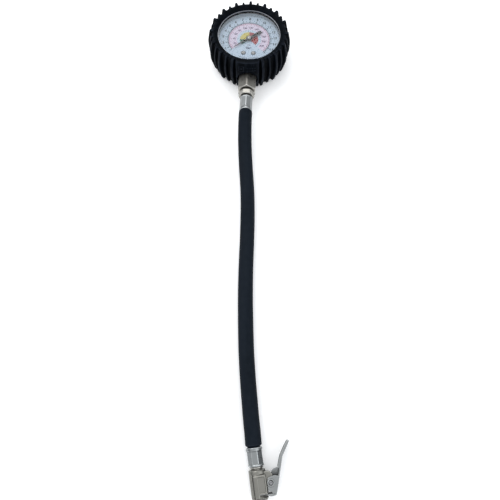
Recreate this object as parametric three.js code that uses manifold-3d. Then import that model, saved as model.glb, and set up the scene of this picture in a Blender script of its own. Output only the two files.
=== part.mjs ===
// A tire pressure gauge: a dial gauge in a ribbed rubber boot, a short hose and a clip-on chuck.
//
// Millimetres, +Z up. The gauge lies on its back with the dial facing up. The origin is the
// centre of the boot's back face. The stem, the hose and the chuck run towards -Y.
import * as THREE from "three";
import { mergeVertices } from "three/addons/utils/BufferGeometryUtils.js";
import Module from "manifold-3d";

const wasm = await Module();
wasm.setup();

// ---- Driving dimensions ----

// Rubber boot
const OPENING_R = 31; // the round front opening
const BOOT_DEPTH = 37.6; // from the back face to the fronts of the big ribs
const BOOT_R = 41.5; // over the big ribs, where they are widest
const VALLEY_R = 37.5; // between the ribs, where the boot is widest
const RIB_COUNT = 32; // places around the boot, big and small in turn
const PANEL_RIBS = [15, 16, 17]; // rib places that the smooth stem panel takes up
const BIG_RIB_WIDTH = 2.6;
const SMALL_RIB_WIDTH = 1.9;
const PANEL_HALF_WIDTH = 11.3;
const STEM_HOLE_R = 10.3; // through the panel
const BOOT_FLOOR = 2.8; // thickness of the boot's back

// Case and dial
const CASE_R = 31.4;
const CASE_WALL = 0.8;
const CASE_BACK = 4; // height of the case's back over the boot's back face
const CASE_RIM = 30.1;
const LIP_UNDERSIDE = 33.75; // the boot's lip, which holds the gauge in
const DIAL_TOP = 27;
const DIAL_THICKNESS = 0.8;
const DIAL_R = 30;
const LENS_TOP = 32.7;
const LENS_THICKNESS = 1.7;
const BEZEL_LIP_R = 30.5; // the bezel's inner edge, over the lens

// Stem and hose fittings, measured along the stem from the dial's centre
const STEM_HEIGHT = 16; // the stem's axis over the boot's back face
const STEM_SHOULDER = 36.2;
const COUPLING_START = 36.6;
const COUPLING_END = 55;
const COUPLING_FLATS = 17;
const NIPPLE_HEX_START = 56.5; // past a narrow neck
const NIPPLE_HEX_END = 61.6;
const NIPPLE_FLATS = 14;
const FERRULE_START = 62.7;
const FERRULE_END = 78.3;
const FERRULE_R = 6.2;
const HOSE_R = 6.5;
const TAIL_R = 3.3; // barbed tails inside the hose

// Movement
const PINION_TEETH = 8;
const SECTOR_TEETH = 72; // on the sector's full circle
const GEAR_MODULE = 0.25;
const CUT_TEETH = 10; // teeth that the sector really has
const SECTOR_PIVOT = new THREE.Vector2(7.5, -6.6);
const POINTER_ZERO = 127.5; // the pointer at rest, degrees anticlockwise from +Y
const POINTER_SWEEP = 262.5;
const TAIL_LENGTH = 6; // from the sector's pivot to the link's pin
const LINK_LENGTH = 8;
const TUBE_R = 23; // the Bourdon tube's bend
const TUBE_START = 250; // degrees anticlockwise from +X, inside the socket
const TUBE_END = -18;
const TIP_ANGLE = -22;

// Chuck, measured along its own axis from the hose's end
const CHUCK_AT = new THREE.Vector3(20.2, -377.8, 6.6);
const CHUCK_HEADING = 10.5; // degrees from -Y towards +X
const CHUCK_FERRULE_END = 14.3;
const CHUCK_SHOULDER = 16.5;
const CHUCK_END = 37.2;
const BARREL_HALF_WIDTH = 6.4;
const BARREL_HALF_HEIGHT = 5.7;
const PAD_TOP = 6.5; // flat faces of the block, over and under the barrel
const PAD_START = 19.8;
const SLOT = [33.1, 35.6]; // the claw's slot
const MOUTH_R = 4.1;
const LEVER_PIN = new THREE.Vector2(9.2, -26.4); // in the chuck's own frame
const LEVER_PIN_R = 1.2;
const LEVER_HALF_HEIGHT = 5;
const LEVER_SHEET = 1;

const ROUND_SIDES = 48; // facets on the boot, case, bezel, lens and dial
const HAIR = 0.1; // assembly gap between pieces on one axis
const GAP = 0.3; // gap where a piece meets another at an angle
const RAD = Math.PI / 180;

// The hose's centreline, from the stem's ferrule to the chuck.
const HOSE_ROUTE = [
  [0, -78.6, 16],
  [0, -86, 16],
  [0.1, -95, 15.2],
  [0.5, -105, 13.6],
  [1.1, -115, 11.5],
  [2, -126, 9.3],
  [3.2, -138, 7.6],
  [4.5, -150, 6.8],
  [5.6, -162, 6.6],
  [6.4, -176, 6.6],
  [7, -192, 6.6],
  [7.3, -208, 6.6],
  [7.4, -223, 6.6],
  [7.6, -238, 6.6],
  [8, -252, 6.6],
  [8.6, -266, 6.6],
  [9.4, -280, 6.6],
  [10.3, -294, 6.6],
  [11.3, -307, 6.6],
  [12.6, -320, 6.6],
  [14.1, -333, 6.6],
  [15.8, -346, 6.6],
  [17.4, -358, 6.6],
  [18.9, -368, 6.6],
  [20.15, -377.5, 6.6],
];

// ---- Finishes ----

const FINISHES = {
  rubber: { color: 0x17191c, roughness: 0.75, metalness: 0 },
  nickel: { color: 0xb4b2aa, roughness: 0.32, metalness: 1 },
  zinc: { color: 0xa9adb0, roughness: 0.38, metalness: 1 },
  steel: { color: 0xb9bcc0, roughness: 0.3, metalness: 1 },
  brass: { color: 0xc2a14e, roughness: 0.35, metalness: 1 },
  bronze: { color: 0xb08a4a, roughness: 0.4, metalness: 1 },
  white: { color: 0xdfe5ec, roughness: 0.45, metalness: 0 },
  black: { color: 0x101113, roughness: 0.5, metalness: 0 },
  clear: { color: 0xf2f6f8, roughness: 0.05, metalness: 0, transparent: true, opacity: 0.3 },
};

// ---- Solids ----

// A three.js geometry as a manifold-3d solid with its faces pointing out.
function solidOf(geometry) {
  const bare = geometry.clone();
  bare.deleteAttribute("normal");
  bare.deleteAttribute("uv");
  const merged = mergeVertices(bare, 1e-4);
  const index = merged.index.array;
  const faces = [];
  for (let i = 0; i < index.length; i += 3) {
    const [a, b, c] = [index[i], index[i + 1], index[i + 2]];
    if (a !== b && b !== c && c !== a) faces.push([a, b, c]);
  }
  const build = (triangles) =>
    new wasm.Manifold(
      new wasm.Mesh({
        numProp: 3,
        vertProperties: new Float32Array(merged.attributes.position.array),
        triVerts: new Uint32Array(triangles.flat()),
      }),
    );
  const made = build(faces);
  return made.volume() > 0 ? made : build(faces.map(([a, b, c]) => [a, c, b]));
}

function geometryOf(solid) {
  const mesh = solid.getMesh();
  const geometry = new THREE.BufferGeometry();
  geometry.setAttribute("position", new THREE.BufferAttribute(mesh.vertProperties, 3));
  geometry.setIndex(new THREE.BufferAttribute(mesh.triVerts, 1));
  const flat = geometry.toNonIndexed();
  flat.computeVertexNormals();
  return flat;
}

function piece(name, solid, finish) {
  const mesh = new THREE.Mesh(geometryOf(solid), new THREE.MeshStandardMaterial(FINISHES[finish]));
  mesh.name = name;
  return mesh;
}

function join(first, ...others) {
  return others.reduce((sum, other) => sum.add(other), first);
}

function cut(first, ...others) {
  return others.reduce((rest, other) => rest.subtract(other), first);
}

// A turned piece about Z. The profile is a list of [radius, height].
function turned(profile, sides = 48) {
  const points = profile.map(([r, z]) => new THREE.Vector2(r, z));
  return solidOf(new THREE.LatheGeometry(points, sides).rotateX(Math.PI / 2));
}

// A turned piece along the stem, which points to -Y. The profile is a list of [radius, distance].
function stemTurned(profile, sides = 24) {
  const points = profile.map(([r, distance]) => new THREE.Vector2(r, -distance));
  return solidOf(new THREE.LatheGeometry(points, sides));
}

// A closed band of profile, from radius inner to outer and between two distances.
function band(inner, outer, from, to) {
  return [
    [inner, from],
    [outer, from],
    [outer, to],
    [inner, to],
    [inner, from],
  ];
}

function rod(radius, from, to) {
  return band(0, radius, from, to).slice(0, 4);
}

function post(x, y, radius, z0, z1, sides = 14) {
  return turned(rod(radius, z0, z1), sides).translate([x, y, 0]);
}

function box(x0, x1, y0, y1, z0, z1) {
  const geometry = new THREE.BoxGeometry(x1 - x0, y1 - y0, z1 - z0);
  return solidOf(geometry.translate((x0 + x1) / 2, (y0 + y1) / 2, (z0 + z1) / 2));
}

// A plate cut to an outline of [x, y] points.
function plate(outline, z0, z1) {
  const shape = new THREE.Shape(outline.map(([x, y]) => new THREE.Vector2(x, y)));
  const geometry = new THREE.ExtrudeGeometry(shape, { depth: z1 - z0, bevelEnabled: false });
  return solidOf(geometry.translate(0, 0, z0));
}

// A straight bar with round ends, from point a to point b.
function bar(a, b, width, z0, z1) {
  const along = Math.atan2(b.y - a.y, b.x - a.x);
  const outline = new THREE.Shape();
  outline.absarc(b.x, b.y, width / 2, along - Math.PI / 2, along + Math.PI / 2, false);
  outline.absarc(a.x, a.y, width / 2, along + Math.PI / 2, along + Math.PI * 1.5, false);
  const settings = { depth: z1 - z0, bevelEnabled: false, curveSegments: 5 };
  return solidOf(new THREE.ExtrudeGeometry(outline, settings).translate(0, 0, z0));
}

function polar(radius, degrees) {
  return new THREE.Vector2(radius * Math.cos(degrees * RAD), radius * Math.sin(degrees * RAD));
}

// ---- Rubber boot ----

// A rib's side view, as [radius, height]. The ribs start inside the boot's wall.
function ribOutline(outerR, frontHeight) {
  const root = 34.7;
  return [
    [root, 0.6],
    [outerR - 4.6, 0.6],
    [outerR - 3.4, 2.6],
    [outerR - 0.1, 16],
    [outerR - 0.1, 26],
    [outerR - 2.5, frontHeight],
    [root + 0.7, frontHeight],
    [root, frontHeight - 1],
  ];
}

function rib(outline, width, degrees) {
  const shape = new THREE.Shape(outline.map(([r, z]) => new THREE.Vector2(r, z)));
  const geometry = new THREE.ExtrudeGeometry(shape, { depth: width, bevelEnabled: false });
  geometry.translate(0, 0, -width / 2).rotateX(Math.PI / 2).rotateZ(degrees * RAD);
  return solidOf(geometry);
}

function rubberBoot() {
  const shell = turned(
    [
      [0, 0],
      [33.5, 0],
      [35.6, 1.2],
      [VALLEY_R, 12],
      [VALLEY_R - 0.2, 28],
      [37.1, 35.2],
      [36.1, 36.7],
      [34, 36.5],
      [OPENING_R, 34.5],
      [OPENING_R, LIP_UNDERSIDE],
      [33.8, LIP_UNDERSIDE],
      [33.8, 27.3],
      [CASE_R + 0.2, 27.3],
      [CASE_R + 0.2, CASE_BACK - HAIR],
      [26, CASE_BACK - HAIR],
      [26, BOOT_FLOOR],
      [0, BOOT_FLOOR],
    ],
    ROUND_SIDES,
  );
  const panelOutline = ribOutline(BOOT_R - 0.3, BOOT_DEPTH - 1.2);
  const panelRing = turned([...panelOutline, panelOutline[0]], ROUND_SIDES);
  const panel = panelRing.intersect(
    box(-PANEL_HALF_WIDTH, PANEL_HALF_WIDTH, -BOOT_R - 1, -30, 0, BOOT_DEPTH),
  );
  const big = ribOutline(BOOT_R, BOOT_DEPTH);
  const small = ribOutline(BOOT_R - 0.8, BOOT_DEPTH - 0.5);
  const ribs = [];
  for (let place = 0; place < RIB_COUNT; place++) {
    if (PANEL_RIBS.includes(place)) continue;
    const isBig = place % 2 === 0;
    const degrees = 90 + (360 / RIB_COUNT) * place;
    ribs.push(rib(isBig ? big : small, isBig ? BIG_RIB_WIDTH : SMALL_RIB_WIDTH, degrees));
  }
  const stemHole = stemTurned(rod(STEM_HOLE_R, 25, 46), 24).translate([0, 0, STEM_HEIGHT]);
  return cut(join(shell, panel, ...ribs), stemHole);
}

// ---- Case, lens and dial ----

function caseShell() {
  const cup = turned(
    [
      [0, CASE_BACK],
      [30.4, CASE_BACK],
      [CASE_R, CASE_BACK + 1],
      [CASE_R, 28.6],
      [32.4, 29],
      [32.4, CASE_RIM],
      [CASE_R - CASE_WALL, CASE_RIM],
      [CASE_R - CASE_WALL, CASE_BACK + 1.4],
      [30, CASE_BACK + CASE_WALL],
      [0, CASE_BACK + CASE_WALL],
    ],
    ROUND_SIDES,
  );
  const stemHole = stemTurned(rod(7.4, 25, 36), 32).translate([0, 0, STEM_HEIGHT]);
  const plugHole = post(0, 18, 3.4, 3, 6);
  const screwHoles = [-5, 5].map((x) => post(x, -23, 1.5, 3, 6));
  return cut(cup, stemHole, plugHole, ...screwHoles);
}

function blowoutPlug() {
  const plug = turned([
    [0, 3.2],
    [3.2, 3.2],
    [3.2, CASE_BACK + CASE_WALL + 0.05],
    [4.6, CASE_BACK + CASE_WALL + 0.05],
    [4.6, 5.8],
    [0, 5.8],
  ], 20);
  return plug.translate([0, 18, 0]);
}

function caseScrew(x) {
  const screw = turned([
    [0, 2.95],
    [2.3, 2.95],
    [2.3, CASE_BACK - 0.05],
    [1.25, CASE_BACK - 0.05],
    [1.25, 10],
    [0, 10],
  ], 16);
  return screw.translate([x, -23, 0]);
}

function bezelRing() {
  const top = LIP_UNDERSIDE - 0.15;
  return turned(
    [
      [31.75, 27.7],
      [33.5, 27.7],
      [33.5, top - 0.5],
      [33, top],
      [BEZEL_LIP_R, top],
      [BEZEL_LIP_R, top - 0.75],
      [32.7, top - 0.75],
      [32.7, 28.3],
      [31.75, 28.3],
      [31.75, 27.7],
    ],
    ROUND_SIDES,
  );
}

function dialPlate() {
  const disc = turned(rod(DIAL_R, DIAL_TOP - DIAL_THICKNESS, DIAL_TOP), ROUND_SIDES);
  const holes = [-5, 5].map((x) => post(x, -17, 1.35, 25, 28));
  return cut(disc, post(0, 0, 2, 25, 28), ...holes);
}

function dialScrew(x) {
  const screw = turned([
    [0, 22.2],
    [1.15, 22.2],
    [1.15, DIAL_TOP + 0.05],
    [1.9, DIAL_TOP + 0.05],
    [1.8, DIAL_TOP + 0.7],
    [1.2, DIAL_TOP + 1.1],
    [0, DIAL_TOP + 1.25],
  ], 20);
  return screw.translate([x, -17, 0]);
}

// ---- Socket and pressure tube ----

class TubeArc extends THREE.Curve {
  getPoint(t) {
    const at = polar(TUBE_R, TUBE_START + (TUBE_END - TUBE_START) * t);
    return new THREE.Vector3(at.x, at.y, STEM_HEIGHT);
  }
}

// An oval across the tube: long along Z, short along the bend's radius.
function ovalShape(halfLong, halfShort, points) {
  const outline = [];
  for (let i = 0; i < points; i++) {
    const a = (i / points) * 2 * Math.PI;
    outline.push(new THREE.Vector2(halfLong * Math.cos(a), halfShort * Math.sin(a)));
  }
  return outline;
}

function bourdonTube() {
  const section = new THREE.Shape(ovalShape(4.5, 1.3, 8));
  section.holes.push(new THREE.Path(ovalShape(4.1, 0.9, 8)));
  const settings = { steps: 22, extrudePath: new TubeArc(), bevelEnabled: false };
  return solidOf(new THREE.ExtrudeGeometry(section, settings));
}

function socket() {
  const block = box(-8.5, 8.5, -28.4, -18.5, CASE_BACK + CASE_WALL + HAIR, 22.6);
  const seat = box(-8.5, 8.5, -19, -7.5, 9.5, 13.9);
  const bosses = [-5, 5].map((x) => post(x, -17, 2.4, 13.5, 26.1));
  const stem = stemTurned([
    [0, 28],
    [7.1, 28],
    [7.1, STEM_SHOULDER],
    [6.45, STEM_SHOULDER],
    [6.45, 46.4],
    [0, 46.4],
  ], 32).translate([0, 0, STEM_HEIGHT]);
  const passage = stemTurned(rod(2.2, 21, 50), 16).translate([0, 0, STEM_HEIGHT]);
  const tubeSlot = box(-9, -6, -25.4, -18, STEM_HEIGHT - 4.9, STEM_HEIGHT + 4.9);
  const dialHoles = [-5, 5].map((x) => post(x, -17, 1.35, 21, 27));
  const movementHoles = PILLARS.slice(0, 2).map(([x, y]) => post(x, y, 1, 10, 15));
  const caseHoles = [-5, 5].map((x) => post(x, -23, 1.4, 4, 10.5));
  return cut(
    join(block, seat, ...bosses, stem),
    passage,
    tubeSlot,
    ...dialHoles,
    ...movementHoles,
    ...caseHoles,
  );
}

// ---- Movement ----

// Two pillars carry the movement's screws, the third only spaces the plates.
const PILLARS = [
  [4.2, -11.2],
  [-6, -11],
  [-7, 2],
];
const BACK_PLATE_TOP = 15;
const FRONT_PLATE = 20.4;

// Points of a toothed edge about the origin, tooth by tooth, anticlockwise.
function toothedEdge(rootR, tipR, rootHalf, tipHalf, centres) {
  const points = [];
  for (const degrees of centres) {
    points.push(polar(rootR, degrees - rootHalf));
    points.push(polar(tipR, degrees - tipHalf));
    points.push(polar(tipR, degrees + tipHalf));
    points.push(polar(rootR, degrees + rootHalf));
  }
  return points;
}

function contactAngle() {
  return Math.atan2(-SECTOR_PIVOT.y, -SECTOR_PIVOT.x) / RAD;
}

function pinionArbor() {
  const pitchR = (PINION_TEETH * GEAR_MODULE) / 2;
  const step = 360 / PINION_TEETH;
  const centres = Array.from({ length: PINION_TEETH }, (_, i) => contactAngle() - 180 + i * step);
  const edge = toothedEdge(pitchR - 0.3, pitchR + 0.22, 14.7, 3.3, centres);
  const teeth = plate(edge.map((p) => [p.x, p.y]), 16.2, 18);
  const shaft = turned([
    [0, 13.3],
    [0.5, 13.3],
    [0.5, 15.2],
    [0.65, 15.2],
    [0.65, 29.3],
    [0, 29.3],
  ], 16);
  return join(shaft, teeth);
}

function sectorGear() {
  const pitchR = (SECTOR_TEETH * GEAR_MODULE) / 2;
  const step = 360 / SECTOR_TEETH;
  const first = contactAngle() - step * (CUT_TEETH - 2.5);
  const centres = Array.from({ length: CUT_TEETH }, (_, i) => first + i * step);
  const rimR = pitchR - 1.6;
  const last = centres[CUT_TEETH - 1];
  const edge = toothedEdge(pitchR - 0.32, pitchR + 0.22, 1.12, 0.5, centres);
  edge.unshift(polar(pitchR - 0.32, first - step / 2));
  edge.push(polar(pitchR - 0.32, last + step / 2));
  for (let i = CUT_TEETH; i >= 0; i--) edge.push(polar(rimR, first + (i - 0.5) * step));
  const [z0, z1] = [16.6, 17.6];
  const rim = plate(edge.map((p) => [p.x, p.y]), z0, z1);
  const hub = new THREE.Vector2(0, 0);
  const middle = (first + last) / 2;
  const arms = [-16, 16].map((side) => bar(hub, polar(rimR + 0.4, middle + side), 1.3, z0, z1));
  const tail = bar(hub, tailPoint(), 1.9, z0, z1);
  const body = join(rim, ...arms, tail, post(0, 0, 1.7, z0, z1));
  const eye = tailPoint();
  return cut(body, post(0, 0, 0.8, 16, 18, 16), post(eye.x, eye.y, 0.6, 16, 18, 12));
}

// The link's pin on the sector's tail, from the sector's pivot, at rest.
function tailPoint() {
  const sweep = (POINTER_SWEEP * PINION_TEETH) / SECTOR_TEETH;
  const pull = Math.atan2(0.6, 0.8) / RAD;
  return polar(TAIL_LENGTH, pull - 90 - sweep / 2);
}

function linkEnds() {
  const tail = tailPoint().add(SECTOR_PIVOT);
  const tip = new THREE.Vector2(0.8, 0.6).multiplyScalar(LINK_LENGTH).add(tail);
  return { tail, tip };
}

function sectorArbor() {
  return turned([
    [0, 13.5],
    [0.5, 13.5],
    [0.5, 15.3],
    [0.7, 15.3],
    [0.7, 20.1],
    [0.5, 20.1],
    [0.5, 21.9],
    [0, 21.9],
  ], 16);
}

function tailPin() {
  const at = tailPoint();
  const pin = turned([
    [0, 16.4],
    [0.5, 16.4],
    [0.5, 18.75],
    [1.15, 18.75],
    [1.15, 19.2],
    [0, 19.2],
  ], 12);
  return pin.translate([at.x, at.y, 0]);
}

function link() {
  const { tail, tip } = linkEnds();
  const strip = bar(tail, tip, 2.9, 18, 18.6);
  return cut(strip, post(tail.x, tail.y, 0.85, 17, 20, 16), post(tip.x, tip.y, 0.65, 17, 20, 12));
}

function linkPin() {
  const { tip } = linkEnds();
  const pin = turned([
    [0, 16.7],
    [0.55, 16.7],
    [0.55, 18.7],
    [1, 18.7],
    [1, 19.1],
    [0, 19.1],
  ], 12);
  return pin.translate([tip.x, tip.y, 0]);
}

function tubeTip() {
  const { tip } = linkEnds();
  const centre = polar(TUBE_R, TIP_ANGLE);
  const block = box(-1.8, 1.8, -1.4, 1.4, STEM_HEIGHT - 4.8, STEM_HEIGHT + 4.8)
    .rotate([0, 0, TIP_ANGLE])
    .translate([centre.x, centre.y, 0]);
  const ear = bar(tip, centre, 2.6, 16.9, 17.7);
  return cut(join(block, ear), post(tip.x, tip.y, 0.65, 16, 19, 12));
}

function movementPlate(z0, z1) {
  const outline = [
    [-8.4, -13.2],
    [6.2, -13.2],
    [9.6, -9.6],
    [9.6, -4.4],
    [3.4, 3.4],
    [-5, 4.4],
    [-9.2, 4.2],
    [-9.2, -6],
  ];
  const sheet = plate(outline, z0, z1);
  const screwHoles = PILLARS.slice(0, 2).map(([x, y]) => post(x, y, 1, z0 - 1, z1 + 1));
  const arborHole = post(0, 0, 0.75, z0 - 1, z1 + 1, 20);
  const sectorHole = post(SECTOR_PIVOT.x, SECTOR_PIVOT.y, 0.6, z0 - 1, z1 + 1, 20);
  return cut(sheet, ...screwHoles, arborHole, sectorHole);
}

function movementPillar([x, y], hasBore) {
  const tall = post(x, y, 1.7, BACK_PLATE_TOP + 0.05, FRONT_PLATE - 0.05);
  return hasBore ? cut(tall, post(x, y, 1, 14, 22)) : tall;
}

function movementScrew([x, y]) {
  const screw = turned([
    [0, 10.4],
    [0.85, 10.4],
    [0.85, FRONT_PLATE + 1.05],
    [1.7, FRONT_PLATE + 1.05],
    [1.7, FRONT_PLATE + 2.1],
    [0, FRONT_PLATE + 2.1],
  ], 16);
  return screw.translate([x, y, 0]);
}

// A flat spiral between the arbor and the third pillar.
function hairspring() {
  const turns = 3.5;
  const steps = 40;
  const [innerR, outerR, half] = [1.2, 5.2, 0.1];
  const end = Math.atan2(PILLARS[2][1], PILLARS[2][0]);
  const inside = [];
  const outside = [];
  for (let i = 0; i <= steps; i++) {
    const t = i / steps;
    const r = innerR + (outerR - innerR) * t;
    const a = end - (1 - t) * turns * 2 * Math.PI;
    inside.push([(r - half) * Math.cos(a), (r - half) * Math.sin(a)]);
    outside.push([(r + half) * Math.cos(a), (r + half) * Math.sin(a)]);
  }
  return plate([...outside, ...inside.reverse()], 18.9, 19.5);
}

// ---- Pointer ----

// Built along +Y, then turned to its zero place by its group.
function pointer() {
  const [z0, z1] = [28.6, 29.1];
  const needle = plate([[-0.85, 0], [0.85, 0], [0.28, 18.4], [-0.28, 18.4]], z0, z1);
  const tail = plate([[-1.15, 0], [-1.3, -14.9], [1.3, -14.9], [1.15, 0]], z0, z1);
  return cut(join(needle, tail, post(0, 0, 2.7, z0, z1, 24)), post(0, 0, 1.45, 28, 30));
}

function pointerCap() {
  return turned([
    [0, 29.6],
    [0.75, 29.6],
    [0.75, 28],
    [1.35, 28],
    [1.35, 29.15],
    [2.3, 29.15],
    [2.2, 29.9],
    [1.5, 30.35],
    [0, 30.5],
  ], 24);
}

// ---- Hose fittings on the stem ----

// A chamfered hex bar along the stem. A vertex points up, or a flat if flatUp is true.
function hexBar(acrossFlats, from, to, flatUp) {
  const cornerR = acrossFlats / Math.sqrt(3);
  const bar6 = new THREE.CylinderGeometry(cornerR, cornerR, to - from, 6);
  bar6.rotateY(flatUp ? Math.PI / 6 : 0).translate(0, -(from + to) / 2, 0);
  const faceR = acrossFlats / 2 - 0.2;
  const drop = (cornerR - faceR) * 0.6;
  const chamfer = stemTurned([
    [0, from],
    [faceR, from],
    [cornerR + 0.05, from + drop],
    [cornerR + 0.05, to - drop],
    [faceR, to],
    [0, to],
  ], 36);
  return solidOf(bar6).intersect(chamfer);
}

function hexCoupling() {
  const sleeve = hexBar(COUPLING_FLATS, COUPLING_START, COUPLING_END, false);
  const stemBore = stemTurned(rod(6.75, COUPLING_START - 1, 47), 28);
  const nippleBore = stemTurned(rod(5, 46, COUPLING_END + 1), 24);
  return cut(sleeve, stemBore, nippleBore);
}

function hoseNipple() {
  const hex = hexBar(NIPPLE_FLATS, NIPPLE_HEX_START, NIPPLE_HEX_END, true);
  const thread = stemTurned(rod(4.7, 47.6, NIPPLE_HEX_START + 1), 24);
  const tail = stemTurned(rod(TAIL_R, NIPPLE_HEX_END - 1, FERRULE_END - 1.5), 16);
  return cut(join(hex, thread, tail), stemTurned(rod(1.9, 46, FERRULE_END), 16));
}

// A crimped sleeve: round collars at both ends and eight pressed flats between them.
function ferrule(from, to) {
  const collar = 2.4;
  const body = join(
    stemTurned(rod(FERRULE_R, from, from + collar), 24),
    stemTurned(rod(FERRULE_R, from + 1, to - 1), 8),
    stemTurned(rod(FERRULE_R + 0.2, to - collar, to), 24),
  );
  const start = stemTurned(rod(TAIL_R + 0.2, from - 1, to + 1), 16);
  const pocket = stemTurned(rod(5.2, from + 1.5, to + 1), 20);
  return cut(body, start, pocket);
}

function hose() {
  const route = new THREE.CatmullRomCurve3(HOSE_ROUTE.map((p) => new THREE.Vector3(...p)));
  const section = new THREE.Shape(ovalShape(HOSE_R, HOSE_R, 10));
  const settings = { steps: 26, extrudePath: route, bevelEnabled: false };
  return solidOf(new THREE.ExtrudeGeometry(section, settings));
}

// ---- Chuck, in its own frame: the hose's end at the origin, the mouth towards -Y ----

function chuckNipple() {
  const body = join(
    stemTurned(rod(TAIL_R, 1.5, 15), 16),
    stemTurned(rod(5.2, CHUCK_FERRULE_END + 0.3, CHUCK_SHOULDER - GAP), 24),
    stemTurned(rod(4.1, 15.5, 21), 20),
  );
  return cut(body, stemTurned(rod(1.8, 0, 22), 12));
}

// A bar along the chuck's axis over an outline of [x, z] points.
function chuckBar(outline, from, to) {
  const shape = new THREE.Shape(outline.map(([x, z]) => new THREE.Vector2(x, z)));
  const geometry = new THREE.ExtrudeGeometry(shape, { depth: to - from, bevelEnabled: false });
  return solidOf(geometry.rotateX(Math.PI / 2).translate(0, -from, 0));
}

function chuckBody() {
  const round = ovalShape(BARREL_HALF_WIDTH, BARREL_HALF_HEIGHT, 28).map(({ x, y }) => [x, y]);
  const barrel = chuckBar(round, CHUCK_SHOULDER, CHUCK_END);
  const upperHalf = [[5.9, 5.4], [4.9, PAD_TOP], [-1.4, PAD_TOP], [-3.6, 5.2]];
  const lowerHalf = upperHalf.map(([x, z]) => [x, -z]).reverse();
  const block = chuckBar([...upperHalf, ...lowerHalf], PAD_START, CHUCK_END);
  const envelope = stemTurned([
    [0, CHUCK_SHOULDER],
    [5.4, CHUCK_SHOULDER],
    [7.2, CHUCK_SHOULDER + 1.8],
    [9.5, PAD_START],
    [9.5, CHUCK_END - 2],
    [7.2, CHUCK_END - 1],
    [5.8, CHUCK_END],
    [0, CHUCK_END],
  ], 36);
  const lugOutline = [[5, -29], [9.4, -29], [11.6, -27.6], [11.7, -24], [11, -20.4], [8.4, -18.4], [5, -18.4]];
  const lug = plate(lugOutline, -0.6, 3.6);
  const body = join(join(barrel, block).intersect(envelope), lug);
  return cut(
    body,
    stemTurned(rod(4.4, CHUCK_SHOULDER - 1, 21.5), 20),
    stemTurned(rod(2, 21, 28), 16),
    stemTurned(rod(5, 26, 31), 24),
    stemTurned(rod(MOUTH_R, 30, CHUCK_END + 1), 24),
    box(-0.3, 8, -SLOT[1], -SLOT[0], -8, 8),
    post(LEVER_PIN.x, LEVER_PIN.y, LEVER_PIN_R + HAIR, -2, 5),
  );
}

function valveSeal() {
  const ring = stemTurned(band(2.4, 4.7, 26.3, 30.7), 24);
  return ring;
}

function depressorPin() {
  return stemTurned([
    [0, 22.5],
    [1.7, 22.5],
    [1.7, 24],
    [0.8, 24.6],
    [0.8, 31.2],
    [0, 31.2],
  ], 16);
}

// One ear of the lever, in the chuck's frame. The lower ear reaches further up the arm.
function leverEar(isLower) {
  const backEdge = isLower ? [[17.4, -17.2], [12, -18.4]] : [[16, -22.6], [12.5, -21.8]];
  const outline = [
    [6.6, -24.4],
    [6.5, -29],
    [6.8, -31.2],
    [8.7, -32.2],
    [9.8, -33.8],
    [12.3, -34],
    ...backEdge,
    [9.2, -22.2],
    [7.6, -22.8],
  ];
  const z0 = isLower ? -LEVER_HALF_HEIGHT : LEVER_HALF_HEIGHT - LEVER_SHEET;
  const ear = plate(outline, z0, z0 + LEVER_SHEET);
  return cut(ear, post(LEVER_PIN.x, LEVER_PIN.y, LEVER_PIN_R + HAIR, z0 - 1, z0 + 2));
}

const ARM_OUTER = [[18.3, -17.2], [20.7, -9.7], [27.6, 0.3]]; // the arm's edges, seen along the pin
const ARM_INNER = [[26.6, 1], [25.4, 0], [22.4, -3.9], [19.2, -8.6], [17.6, -12], [15.8, -17.2]];

function clipLever() {
  const outer = [[10.6, -36], [11.6, -35.9], [12.5, -35], ...ARM_OUTER];
  const inner = [[26.8, 0.9], [19.7, -9.3], [11.3, -35]];
  const spine = plate([...outer, ...inner], -LEVER_HALF_HEIGHT, LEVER_HALF_HEIGHT);
  const flanges = [-LEVER_HALF_HEIGHT, LEVER_HALF_HEIGHT - LEVER_SHEET].map((z0) =>
    plate([...ARM_OUTER, ...ARM_INNER], z0, z0 + LEVER_SHEET),
  );
  const clawOutline = [[3.6, -33.8], [3.6, -34.2], [5.2, -34.7], [6.8, -34.9], [7.8, -35.9], [11.6, -35.9],
    [12.2, -35], [11.6, -33.8]];
  const claw = plate(clawOutline, -4.6, 4.6);
  return join(spine, ...flanges, leverEar(false), leverEar(true), claw);
}

function leverPin() {
  const under = LEVER_HALF_HEIGHT + 0.05;
  const pin = turned([
    [0, -under - 0.9],
    [1.6, -under - 0.9],
    [1.6, -under],
    [LEVER_PIN_R, -under],
    [LEVER_PIN_R, under],
    [1.7, under],
    [1.7, under + 0.5],
    [1.2, under + 0.9],
    [0, under + 0.9],
  ], 24);
  return pin.translate([LEVER_PIN.x, LEVER_PIN.y, 0]);
}

// The torsion spring's wire: a leg along the body, the coil round the pin, a leg to the spine.
class SpringWire extends THREE.Curve {
  getPoint(t) {
    const turns = 2.25;
    const coilR = 2.1;
    const [bodyLeg, spineLeg] = [4.6, 3.9];
    const legShare = 0.16; // of the curve's parameter, at each end
    const along = THREE.MathUtils.clamp((t - legShare) / (1 - 2 * legShare), 0, 1);
    const turn = (0.5 + turns * along) * 2 * Math.PI;
    const before = (Math.max(0, legShare - t) / legShare) * bodyLeg;
    const after = (Math.max(0, t - 1 + legShare) / legShare) * spineLeg;
    const straight = after - before;
    return new THREE.Vector3(
      LEVER_PIN.x + coilR * Math.cos(turn) - straight * Math.sin(turn),
      LEVER_PIN.y + coilR * Math.sin(turn) + straight * Math.cos(turn),
      -3.3 + 2.1 * along,
    );
  }
}

function leverSpring() {
  const section = new THREE.Shape(ovalShape(0.35, 0.35, 5));
  const settings = { steps: 30, extrudePath: new SpringWire(), bevelEnabled: false };
  return solidOf(new THREE.ExtrudeGeometry(section, settings));
}

// ---- Assembly ----

const gauge = new THREE.Group();

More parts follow.
